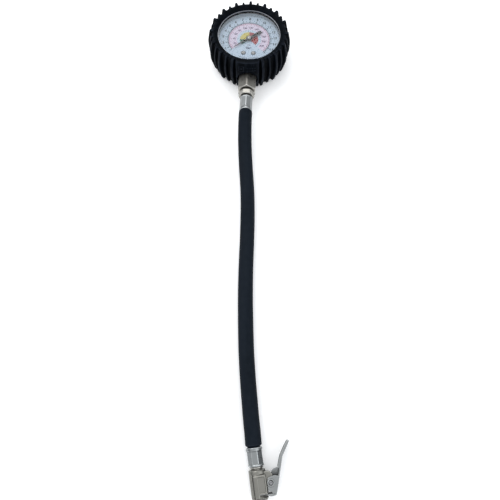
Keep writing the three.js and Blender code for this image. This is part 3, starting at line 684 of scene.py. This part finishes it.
def make_front():
    bezel = filleted(
        [(31.75, 27.7, 0.15), (33.5, 27.7, 0.2), (33.5, 33.3, 0.9), (32.6, 33.6, 0.5), (30.5, 33.6, 0.3),
         (30.5, 32.85, 0.2), (32.7, 32.85, 0.1), (32.7, 28.3, 0.1), (31.75, 28.3, 0.15)],
        closed=True)
    piece("bezel_rolled", mesh_from("bezel", turned(bezel, 160, True)), [BEZEL], "gauge", "bezel_ring")
    gasket = filleted(
        [(30.7, 30.25, 0.2), (32.4, 30.25, 0.2), (32.4, 30.85, 0.2), (30.7, 30.85, 0.2)], closed=True)
    piece("gasket_ring", mesh_from("gasket", turned(gasket, 160, True)), [SEAL], "gauge", "lens_gasket")
    lens = filleted([(4, 31, 0), (32.4, 31, 0.3), (32.4, 32.7, 0.3), (4, 32.7, 0)], 3)
    piece("lens_window", mesh_from("lens", turned(lens, 160)), [GLASS], "gauge", "lens")


# ---- Dial ----

INK_RISE = 0.03
INK_ROOT = 0.01  # how deep the print reaches into the plate
ZONE_RISE = 0.015
ARC_RISE = 0.05
SCALE_START = -POINTER_ZERO
SCALE_END = 135
TICK_R = 21.3
BAR_FIGURE_R = 26.2
PSI_FIGURE_R = 15
SECTOR_R = (2.3, 9.3)
DIAL_SCREWS = ((-5, -17), (5, -17))


def dial_point(radius, degrees):
    """A point on the dial. Degrees run clockwise from the top."""
    a = math.radians(degrees)
    return radius * math.sin(a), radius * math.cos(a)


def ring_patch(inner, outer, start, end, ink, rise=INK_RISE):
    """A printed piece of a ring, or of a disc where inner is 0."""
    steps = max(2, round((end - start) / 3))
    turns = [start + (end - start) * k / steps for k in range(steps + 1)]
    outline = [dial_point(outer, a) for a in turns]
    outline += [dial_point(inner, a) for a in reversed(turns)] if inner else [(0, 0)]
    return (*slab(outline, DIAL_TOP - INK_ROOT, DIAL_TOP + rise), ink)


def tick(inner, outer, degrees, width, ink):
    """A printed line that points at the dial's centre."""
    turn = Matrix.Rotation(math.radians(-degrees), 4, "Z")
    bar = block(-width / 2, width / 2, inner, outer, DIAL_TOP - INK_ROOT, DIAL_TOP + 2 * INK_RISE)
    return (*along(bar, turn), ink)


def lettered(text, size, x, y, ink, thick):
    """Generic numbers or units as closed shapes on the dial, with strokes widened by thick."""
    rise = 2 * INK_RISE
    curve = bpy.data.curves.new("words", "FONT")
    curve.body = text
    curve.size = size
    curve.align_x = "CENTER"
    curve.align_y = "CENTER"
    curve.extrude = rise / 2 + INK_ROOT / 2
    curve.offset = thick
    curve.resolution_u = 3
    words = bpy.data.objects.new("words", curve)
    bpy.context.scene.collection.objects.link(words)
    mesh = settled(words)
    bpy.data.curves.remove(curve)
    middle = DIAL_TOP + rise / 2 - INK_ROOT / 2
    points = [(x + v.co.x, y + v.co.y, middle + v.co.z) for v in mesh.vertices]
    faces = [tuple(f.vertices) for f in mesh.polygons]
    bpy.data.meshes.remove(mesh)
    return points, faces, ink


BAR_STEP = 16.875  # degrees
BAR_TOP = 8  # the figure at the top of the dial
BAR_MAX = 16
PSI_PER_BAR = 14.504


def bar_angle(bar):
    return (bar - BAR_TOP) * BAR_STEP


def bar_scale():
    """The outer scale, from 1 bar, and a mark where the pointer rests."""
    per_bar = 5
    long_reach = 24
    shapes = [ring_patch(20.8, 21.4, SCALE_START, SCALE_END, SCALE_INK, ARC_RISE)]
    for count in range(per_bar, per_bar * BAR_MAX + 1):
        whole = count % per_bar == 0
        reach = long_reach if whole else 22.6
        width = 0.7 if whole else 0.26
        shapes.append(tick(TICK_R, reach, bar_angle(count / per_bar), width, SCALE_INK))
    shapes.append(tick(TICK_R, long_reach, SCALE_START, 0.55, SCALE_INK))
    for bar in range(1, BAR_MAX):
        x, y = dial_point(BAR_FIGURE_R, bar_angle(bar))
        shapes.append(lettered(str(bar), 3.7, x, y, SCALE_INK, 0.16))
    return shapes


def psi_scale():
    """The inner scale in its tinted zone."""
    shapes = [
        ring_patch(12.2, 20.6, SCALE_START, SCALE_END, ZONE_INK, ZONE_RISE),
        ring_patch(19.8, 20.25, SCALE_START, SCALE_END, RED_LINE_INK, ARC_RISE),
    ]
    for psi in range(15, 231, 5):
        long_one = psi % 20 == 0
        inner = 17.6 if long_one else 18.9
        width = 0.36 if long_one else 0.18
        shapes.append(tick(inner, 20, bar_angle(psi / PSI_PER_BAR), width, RED_LINE_INK))
    for psi in range(20, 221, 20):
        x, y = dial_point(PSI_FIGURE_R, bar_angle(psi / PSI_PER_BAR))
        shapes.append(lettered(str(psi), 3.0, x, y, INNER_INK, 0.13))
    return shapes


def make_dial():
    """The plate, all its print and painted shadows round the screws in one mesh, as low reliefs of ink."""
    radius = 30.45
    profile = filleted(
        [(4, 26.2, 0), (radius, 26.2, 0.15), (radius, DIAL_TOP, 0.2), (4, DIAL_TOP, 0)], 3)
    holes = [disc(0, 0, 2, 25, 28)] + [disc(x, y, 1.35, 25, 28) for x, y in DIAL_SCREWS]
    plate = carved("dial", turned(profile, 160), removed=holes)
    plate_shape = ([tuple(v.co) for v in plate.vertices], [tuple(f.vertices) for f in plate.polygons], 0)
    centre = [
        ring_patch(*SECTOR_R, -135, -90, GREEN_INK),
        ring_patch(*SECTOR_R, -90, 0, YELLOW_INK),
        ring_patch(*SECTOR_R, 0, 135, RED_INK),
    ]
    words = [
        lettered("psi", 2.6, 0, -6.8, INNER_INK, 0.05),
        lettered("bar", 3.8, 0, -10.6, WORD_INK, 0.14),
    ]
    gap_at = 179.5  # degrees, between the two groups of dashes at the dial's foot
    dashes = [
        ring_patch(23.0, 24.0, angle, angle + 1.6, SCALE_INK)
        for angle in [157 + 2.9 * k for k in range(16)] if abs(angle - gap_at) > 2
    ]
    # Painted shadow: a dark ink disc round each dial screw head stands in for the shade around it.
    shadow_ring_heights = (DIAL_TOP - INK_ROOT, DIAL_TOP + INK_RISE)
    painted_screw_shadows = [(*disc(x, y, 2.5, *shadow_ring_heights), SCALE_INK) for x, y in DIAL_SCREWS]
    shapes = [plate_shape, *psi_scale(), *bar_scale(), *centre, *words, *dashes, *painted_screw_shadows]
    mesh = mesh_from("dial", *shapes)
    for face in mesh.polygons:
        face.use_smooth = False
    piece("dial_printed", mesh, [DIAL_WHITE, *INKS], "gauge", "dial_plate", weighted=False)


def make_dial_screws():
    head = filleted(
        [(0.1, 22.2, 0), (1.15, 22.2, 0.1), (1.15, 27.05, 0), (1.9, 27.05, 0.1), (1.85, 27.6, 0.3),
         (1.2, 28.15, 0.8), (0.1, 28.25, 0)])
    for number, (x, y) in enumerate(DIAL_SCREWS, 1):
        slot = block(-2.2, 2.2, -0.22, 0.22, 27.85, 29)
        mesh = carved("screw", turned(head, 48), removed=[slot])
        turn = Matrix.Rotation(math.radians(25 + 95 * number), 4, "Z")  # each stops at another angle
        place = ROW @ Matrix.Translation((x, y, 0)) @ turn
        piece(f"dial_screw_head_{number}", mesh, [CAP_METAL], "gauge", f"dial_screw_{number}",
              place)


# ---- Pointer ----


def make_pointer():
    """The blade with its hub, and the cap on the arbor. Each station is (along, half width, thickness)."""
    low, high = 28.6, 29.1
    chamfer = 0.15
    stations = [(-14.9, 1.5, 0.3), (-14.7, 1.6, 0.45), (-8, 1.45, 0.5), (0, 1.25, 0.5), (3, 1.0, 0.5),
                (12, 0.6, 0.42), (18.3, 0.36, 0.3), (18.6, 0.2, 0.25)]
    rings = []
    for y, half, thick in stations:
        top = low + thick
        ridge = 0.55 * half
        rings.append([(-half, y, low), (half, y, low), (half, y, top - chamfer), (ridge, y, top),
                      (-ridge, y, top), (-half, y, top - chamfer)])
    hub = turned(filleted([(0.5, low, 0), (3.0, low, 0.1), (3.0, high, 0.15), (0.5, high, 0)]), 64)
    mesh = carved("pointer", skin(rings), [hub], [disc(0, 0, 1.45, 28, 30)])
    piece("pointer_blade", mesh, [POINTER_BLACK], "pointer", "pointer", HAND)
    cap = filleted([(0.1, 29.6, 0), (0.75, 29.6, 0), (0.75, 28, 0), (1.35, 28, 0), (1.35, 29.15, 0),
                    (2.1, 29.15, 0.1), (2.05, 29.95, 0.3), (1.5, 30.4, 0.6), (0.1, 30.5, 0)])
    piece("pointer_hub_cap", mesh_from("cap", turned(cap, 64)), [CAP_METAL], "pointer", "pointer_cap",
          HAND)


# ---- Bourdon tube ----

TUBE_R = 23
TUBE_SPAN = (250, -18)  # degrees anticlockwise from +X, from the socket to the tube's tip
TUBE_BEND = ((-0.008, 0, 0.016), (0.0215, 0, 0.016))  # metres: where it would start to follow the tip, and fully; handed on in bends


def tube_ring(degrees, half_high, half_thick):
    """An oval ring across the tube."""
    a = math.radians(degrees)
    ring = []
    for b in full_turn(28):
        radius = TUBE_R + half_thick * math.cos(b)
        ring.append((radius * math.cos(a), radius * math.sin(a), STEM_HEIGHT + half_high * math.sin(b)))
    return ring


def make_bourdon_tube():
    """A flattened tube, with its transform baked in."""
    spans = 64
    start, end = TUBE_SPAN
    places = [start + (end - start) * k / spans for k in range(spans + 1)]
    outside = [tube_ring(a, 4.5, 1.3) for a in places]
    inside = [tube_ring(a, 4.1, 0.9) for a in reversed(places)]
    piece("bourdon_tube_oval", mesh_from("tube", skin(outside + inside, True)), [BRONZE], "gauge",
          "bourdon_tube", weighted=False, bends=("tube_end", *TUBE_BEND))


# ---- Hex fittings and sleeves ----

COUPLING_SPAN = (36.6, 55)  # distances along the stem
NIPPLE_HEX_SPAN = (56.5, 61.6)
UPPER_FERRULE_SPAN = (62.7, 78.3)
LOWER_FERRULE_SPAN = (-14.3, -0.9)  # measured from CHUCK_AT towards the gauge
COUPLING_FLATS = 17
NIPPLE_FLATS = 14


def many_sided(radius_at, stations, turns):
    """Rings round Z, one for each station (height, ...), with radius_at(station, degrees) from the axis."""
    rings = []
    for station in stations:
        ring = []
        for degrees in turns:
            a = math.radians(degrees)
            radius = radius_at(station, degrees)
            ring.append((radius * math.cos(a), radius * math.sin(a), station[0]))
        rings.append(ring)
    return rings


def flat_radius(flats, sides, degrees, first):
    """Distance from the axis to a regular prism's face, with a vertex at first degrees."""
    step = 360 / sides
    off_middle = (degrees - first) % step - step / 2
    return flats / 2 / math.cos(math.radians(off_middle))


def turns_round(sides, first, shares):
    """Angles all round a prism, at the given shares of each side from its vertex."""
    step = 360 / sides
    return [first + step * (i + share) for i in range(sides) for share in shares]


# Closer together near the vertices and the ends, where a hex bar is rounded.
HEX_SHARES = (0, 0.012, 0.03, 0.06, 0.12, 0.22, 0.36, 0.5, 0.64, 0.78, 0.88, 0.94, 0.97, 0.988)
CHAMFER_RUN = (0, 0.12, 0.3, 0.5, 0.75, 1.05, 1.4, 1.8)


def hex_stations(start, end, flats):
    """(distance, radius that the chamfers leave) along a chamfered hex bar."""
    face = flats / 2 - 0.25
    rise = 1.75  # a 30 degree chamfer
    stations = [(start + run, face + rise * run) for run in CHAMFER_RUN]
    stations += [(end - run, face + rise * run) for run in reversed(CHAMFER_RUN)]
    return stations


def hex_radius(flats, first):
    """A radius_at for a hex bar with slightly blunt corners and rounded chamfers."""
    corner = flats / math.sqrt(3) - 0.22

    def radius_at(station, degrees):
        flat = flat_radius(flats, 6, degrees, first)
        return soft_min(soft_min(flat, corner, 0.35), station[1], 0.25)

    return radius_at


def hex_rings(start, end, flats, first, turns):
    return many_sided(hex_radius(flats, first), hex_stations(start, end, flats), turns)


def round_rings(profile, turns):
    """Rings of a body of revolution, which join onto those of a hex bar."""
    return many_sided(lambda station, degrees: station[1], [(z, r) for r, z in profile], turns)


def make_coupling():
    turns = turns_round(6, 90, HEX_SHARES)  # a vertex on top
    rings = hex_rings(*COUPLING_SPAN, COUPLING_FLATS, 90, turns)
    bore = filleted([(5.3, 55, 0), (5, 54.6, 0), (5, 47, 0), (6.75, 46.5, 0), (6.75, 37, 0), (7.1, 36.6, 0)])
    rings += round_rings(bore, turns)
    piece("coupling_hex", mesh_from("coupling", skin(rings, True)), [NICKEL], "gauge", "hex_coupling",
          STEM)


def make_nipple():
    turns = turns_round(6, 60, HEX_SHARES)  # a flat on top
    thread = []
    pitch = 0.9
    for k in range(7):
        start = 48.1 + pitch * k
        thread += [(4.7, start), (4.7, start + 0.2), (4.35, start + 0.45), (4.35, start + 0.6)]
    thread += [(4.4, 54.8), (4.4, 56.2), (5.5, 56.3), (6.2, 56.5)]
    barbs = []
    for k in range(4):
        start = 62.8 + 3.2 * k
        barbs += [(2.95, start), (3.3, start + 2.4), (3.3, start + 2.7)]
    tail = [(3.4, 61.6), *barbs, (3, 76.4), (2.5, 76.8), (1.9, 76.8), (1.9, 47.9), (3.9, 47.6), (4.4, 47.8)]
    rings = round_rings(thread, turns)
    rings += hex_rings(*NIPPLE_HEX_SPAN, NIPPLE_FLATS, 60, turns)
    rings += round_rings(tail, turns)
    piece("nipple_hex", mesh_from("nipple", skin(rings, True)), [NICKEL], "gauge", "hose_nipple",
          STEM)


CRIMP_FLATS = 8
CRIMP_SHARES = tuple(k / 12 for k in range(12))
UPPER_CRIMP = 0  # an edge between two flats is on top
LOWER_CRIMP = 26  # the middle of a flat is nearly on top


def ferrule_rings(start, end, first):
    """A crimped sleeve from the fitting at start to its mouth at end. first is the angle of an edge."""
    sleeve = 6.2
    mouth = 6.45
    length = end - start
    body = [(0, sleeve - 0.45), (0.25, sleeve - 0.12), (0.6, sleeve), (1.0, sleeve), (1.3, sleeve),
            (1.6, sleeve), (1.9, sleeve), (2.2, sleeve), (2.6, sleeve)]
    middle = [(2.6 + (length - 6.4) * k / 10, sleeve) for k in range(1, 10)]
    last = [(length - back, sleeve + (mouth - sleeve) * min(1, (3.8 - back) / 2.6))
            for back in (3.8, 3.5, 3.2, 2.9, 2.6, 2.3, 2.0, 1.7, 1.4, 1.0, 0.6, 0.3)]
    rim = [(length - 0.12, mouth - 0.06), (length, mouth - 0.28)]
    pressed = (1.6, length - 2.6)  # where the jaws bite fully
    ramp = 0.32

    def radius_at(station, degrees):
        """The smaller of the round sleeve and the flats, which rise away beyond the jaws."""
        place, outer = station
        off = max(pressed[0] - place, place - pressed[1], 0) / ramp
        flats = 2 * (sleeve - 0.5 + 0.85 * min(off, 1.6) ** 1.6)
        flat = flat_radius(flats, CRIMP_FLATS, degrees, first)
        return soft_min(outer, flat, 0.16)

    turns = turns_round(CRIMP_FLATS, first, CRIMP_SHARES)
    outside = many_sided(radius_at, [*body, *middle, *last, *rim], turns)
    bore = [(5.35, length), (5.15, length - 0.3), (5.1, 1.5), (3.5, 1.3), (3.5, 0.1), (3.7, 0)]
    rings = outside + round_rings(bore, turns)
    return [[(x, y, start + z) for x, y, z in ring] for ring in rings]


def make_ferrules():
    upper = mesh_from("ferrule", skin(ferrule_rings(*UPPER_FERRULE_SPAN, UPPER_CRIMP), True))
    piece("ferrule_upper_crimped", upper, [ZINC], "gauge", "upper_ferrule", STEM)
    flipped = CHUCK_AXIS @ Matrix.Scale(-1, 4, (0, 0, 1))
    lower = mesh_from("ferrule", skin(ferrule_rings(*LOWER_FERRULE_SPAN, LOWER_CRIMP), True))
    lower.flip_normals()  # since the mirrored place turns them again
    piece("ferrule_lower_crimped", lower, [ZINC], "gauge", "lower_ferrule", flipped)


# ---- Chuck ----

BARREL_HALF_WIDTH = 6.55
BARREL_HALF_HEIGHT = 5.7
PAD_TOP = 6.5
LEVER_PIN = (9.2, -26.4)
PIN_HOLE_R = 1.3
CLEAR = 8  # a height above the whole chuck


def barrel_rings(stations):
    """Oval rings of the chuck's barrel, each shrunk by its own amount."""
    turn = full_turn(72)
    rings = []
    for distance, less in stations:
        wide = BARREL_HALF_WIDTH - less
        high = BARREL_HALF_HEIGHT - less
        rings.append([(wide * math.cos(a), -distance, high * math.sin(a)) for a in turn])
    return rings


def block_rings(stations):
    """Rings of the block over and under the barrel, each shrunk by its own amount."""
    rings = []
    for distance, less in stations:
        top = PAD_TOP - less
        half = [(5.9 - less, 3.5, 0), (5.9 - less, top, 0.9), (0.1 + less, top, 1.2),
                (-3.5 + less, top - 0.95, 0.5), (-3.75 + less, 3.9, 0)]
        outline = half + [(x, -z, radius) for x, z, radius in reversed(half)]
        rings.append([(x, -distance, z) for x, z in filleted(outline, 4, True)])
    return rings


def make_chuck_body():
    barrel = [(16.5, 1.0), (16.6, 0.6), (16.9, 0.25), (17.5, 0), (35.6, 0), (36.4, 0.25),
              (36.9, 0.7), (37.2, 1.2)]
    block_run = [(19.8, 1.1), (19.9, 0.7), (20.3, 0.3), (20.9, 0), (35.6, 0), (36.3, 0.25), (36.9, 0.7),
                 (37.15, 1.3)]
    lug = slab(
        filleted([(5, -29, 0), (9.4, -29, 1), (11.6, -27.6, 1.5), (11.7, -24, 1.5), (11, -20.4, 1.2),
                  (8.4, -18.4, 1), (5, -18.4, 0)], 4, True), -0.6, 3.6)
    groove = [(-4.4, -37.5), (-3.75, -37.5), (-3.75, -19.4), (-4.4, -19.4)]
    grooves = [slab(groove, *on_side(side, 3.4, CLEAR)) for side in (-1, 1)]
    sunk = filleted(
        [(-0.4, -32.2, 0.5), (4.9, -32.2, 0.5), (4.9, -21.3, 0.5), (-0.4, -21.3, 0.5)], 4, True)
    frames = [slab(sunk, *on_side(side, PAD_TOP - 0.45, CLEAR)) for side in (-1, 1)]
    bores_and_slot = [
        along(turned([(4.4, 15.5), (4.4, 21.5)], 48), DOWN_STEM),
        along(turned([(2, 21), (2, 28)], 40), DOWN_STEM),
        along(turned([(5, 26), (5, 31)], 48), DOWN_STEM),
        along(turned([(4.1, 30), (4.1, 36.7), (4.7, 37.3), (4.7, 38.5)], 48), DOWN_STEM),
        block(-0.3, 8, -35.6, -33.1, -CLEAR, CLEAR),
        disc(*LEVER_PIN, PIN_HOLE_R, -2, 5),
    ]
    mesh = carved("chuck", skin(barrel_rings(barrel)), [skin(block_rings(block_run)), lug],
                  [*grooves, *frames, *bores_and_slot], voxel=0.18, smoothing=2)
    piece("chuck_casting", mesh, [CAST_NICKEL], "gauge", "chuck_body", CHUCK, False)


def make_chuck_nipple():
    profile = filleted(
        [(1.8, 1.5, 0), (3.1, 1.5, 0.3), (3.3, 3, 0.2), (3.3, 14.4, 0), (5.2, 14.6, 0.3), (5.2, 15.5, 0.4),
         (4.2, 15.9, 0.2), (4.1, 21, 0.2), (1.8, 21, 0)], closed=True)
    piece("chuck_collar", mesh_from("collar", turned(profile, 64, True)), [NICKEL], "gauge",
          "chuck_nipple", CHUCK_AXIS)


EAR_HALF = 5  # the lever's half height
CLAW_HALF = 4.6
SHEET = 1
ARM_OUTER = [(18.3, -17.2), (20.7, -9.7), (27.6, 0.3)]
ARM_INNER = [(26.6, 1, 0.4), (25.4, 0, 1), (22.4, -3.9, 3), (19.2, -8.6, 3), (17.6, -12, 2),
             (15.8, -17.2, 0.8)]
LEVER_BACK = [(11.0, -35.0), (12.1, -33.9), (14.6, -26.9), (17.5, -18), (20.1, -9.9), (21.3, -7.5),
              (23.3, -4.6), (25.2, -2.2), (27.1, 0.55)]


def sheet_outline(corners):
    """A strip as thick as the sheet along a smooth line through the corners."""
    line = smooth_route([(x, y, 0) for x, y in corners], 6)
    left = []
    right = []
    for i, at in enumerate(line):
        ahead = (line[min(i + 1, len(line) - 1)] - line[max(i - 1, 0)]).normalized()
        side = Vector((-ahead.y, ahead.x, 0)) * SHEET / 2
        left.append(tuple((at + side).xy))
        right.append(tuple((at - side).xy))
    return right + left[::-1]


def ear_outline(is_lower):
    """An ear of the lever. The lower one reaches further along the arm."""
    back_edge = [(17.4, -17.2, 0.8), (12, -18.4, 1)] if is_lower else [(16, -22.6, 0.6), (12.5, -21.8, 1)]
    return filleted(
        [(6.6, -24.4, 1.2), (6.5, -29, 1.2), (6.8, -31.2, 0.5), (8.7, -32.2, 0.5), (9.8, -33.8, 0.5),
         (12.1, -34, 0.2), *back_edge, (9.2, -22.2, 1.5), (7.6, -22.8, 1.2)], 4, True)


def make_lever():
    """Folded sheet: a back, two ears with a boss round the rivet, two flanges on the arm, and the claw."""
    ears = []
    cuts = [disc(*LEVER_PIN, PIN_HOLE_R, -CLEAR, CLEAR)]
    arm = filleted([*[(x, y, 0) for x, y in ARM_OUTER], *ARM_INNER], 4, True)
    for side in (-1, 1):
        sheet = on_side(side, EAR_HALF - SHEET, EAR_HALF)
        ears.append(slab(ear_outline(side < 0), *sheet))
        ears.append(slab(arm, *sheet))
        ears.append(disc(*LEVER_PIN, 2.75, *on_side(side, EAR_HALF - 0.2, EAR_HALF + 0.45)))
        cuts.append(disc(*LEVER_PIN, 1.95, *on_side(side, EAR_HALF - 0.25, EAR_HALF + 1)))
    hook = slab([(3.6, -33.8), (3.6, -34.2), (5.2, -34.7), (7.4, -34.9), (7.4, -33.8)], -CLAW_HALF, 1.2)
    claw = slab([(6.3, -33.8), (6.3, -34.9), (7, -35), (7.8, -35.5), (10.4, -35.5), (11.6, -34.7),
                 (11.5, -33.8)], -CLAW_HALF, CLAW_HALF)
    spine = slab(sheet_outline(LEVER_BACK), -EAR_HALF, EAR_HALF)
    mesh = carved("lever", spine, [*ears, claw, hook], cuts, voxel=0.15, smoothing=3)
    piece("lever_pressing", mesh, [LEVER_ZINC], "lever", "clip_lever", CHUCK, False)


def make_rivet():
    under = EAR_HALF + 0.05  # where both heads begin
    shank = 1.2
    head = 1.4
    profile = filleted(
        [(0.1, -under - 0.85, 0), (1.1, -under - 0.8, 0.5), (head, -under - 0.3, 0.3), (head, -under, 0),
         (shank, -under, 0), (shank, under, 0), (head, under, 0), (head, under + 0.35, 0.3),
         (1.1, under + 0.6, 0.3), (0.7, under + 0.55, 0.2), (0.45, under + 0.35, 0.2),
         (0.1, under + 0.32, 0)], 3)
    place = CHUCK @ Matrix.Translation((*LEVER_PIN, 0))
    piece("rivet_head", mesh_from("rivet", turned(profile, 48)), [ARBOR], "gauge", "lever_pin",
          place)


# ---- Carried-over CAD nodes ----

NODE_LOOKS = {
    STEEL: ["case_shell", "case_screw_1", "case_screw_2", "movement_screw_1", "movement_screw_2"],
    SEAL: ["blowout_plug", "valve_seal"],
    CAST_BRASS: ["socket"],
    BRASS: ["movement_back_plate", "movement_front_plate", "movement_pillar_1", "movement_pillar_2",
            "movement_pillar_3", "link", "tube_tip", "sector_gear", "depressor_pin"],
    BRONZE: ["hairspring"],
    ARBOR: ["pinion_arbor", "link_pin", "sector_arbor", "tail_pin", "lever_spring"],
}


def dress_nodes():
    """Gives the CAD nodes that no piece replaces their materials."""
    for material, names in NODE_LOOKS.items():
        for name in names:
            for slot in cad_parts[name].material_slots:
                slot.material = material


make_camera()
hose, hose_path, hose_length = make_hose()
make_stage()
make_boot()
make_front()
make_dial()
make_dial_screws()
make_pointer()
make_bourdon_tube()
make_coupling()
make_nipple()
make_ferrules()
make_chuck_body()
make_chuck_nipple()
make_lever()
make_rivet()
dress_nodes()
